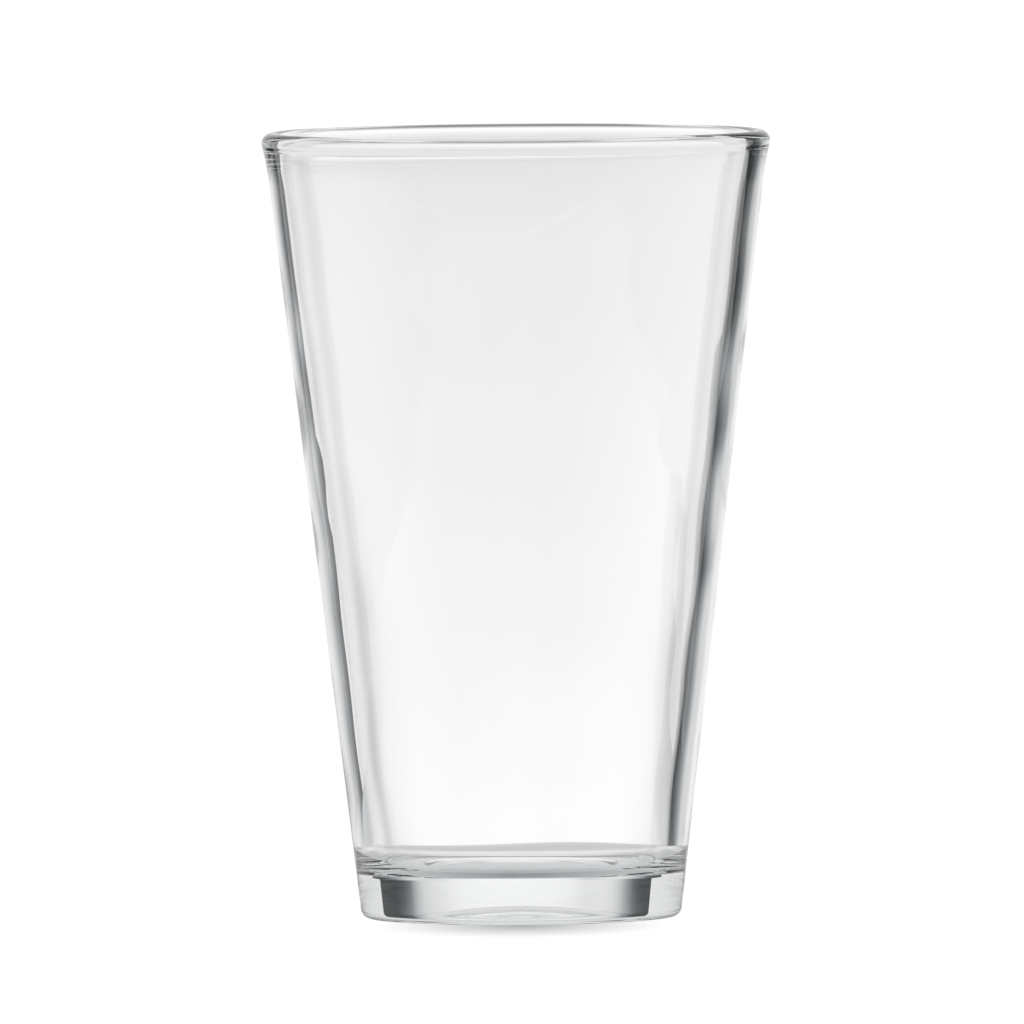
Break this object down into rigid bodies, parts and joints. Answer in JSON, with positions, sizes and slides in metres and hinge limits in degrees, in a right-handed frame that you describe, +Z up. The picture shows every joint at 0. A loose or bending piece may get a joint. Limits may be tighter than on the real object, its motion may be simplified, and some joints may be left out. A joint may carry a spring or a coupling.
{
  "type": "pint glass",
  "caption": "Conical pint glass in clear moulded glass, with a rounded rim bead, a thick solid base, a flat floor with rounded corners, and a domed punt under the foot.",
  "frame": {"origin": "on the axis of the glass, at the level of the flat foot that it stands on", "axes": "+Z up along the axis of the glass, from the foot to the rim; X and Y are level and alike, because the glass is round"},
  "size_m": [0.09, 0.09, 0.139],
  "materials": {
    "glass": "clear, fire-polished soda-lime glass with a faint cool green tint in its thick parts"
  },
  "bodies": {
    "root": {"pint_glass": "glass"}
  },
  "joints": []
}
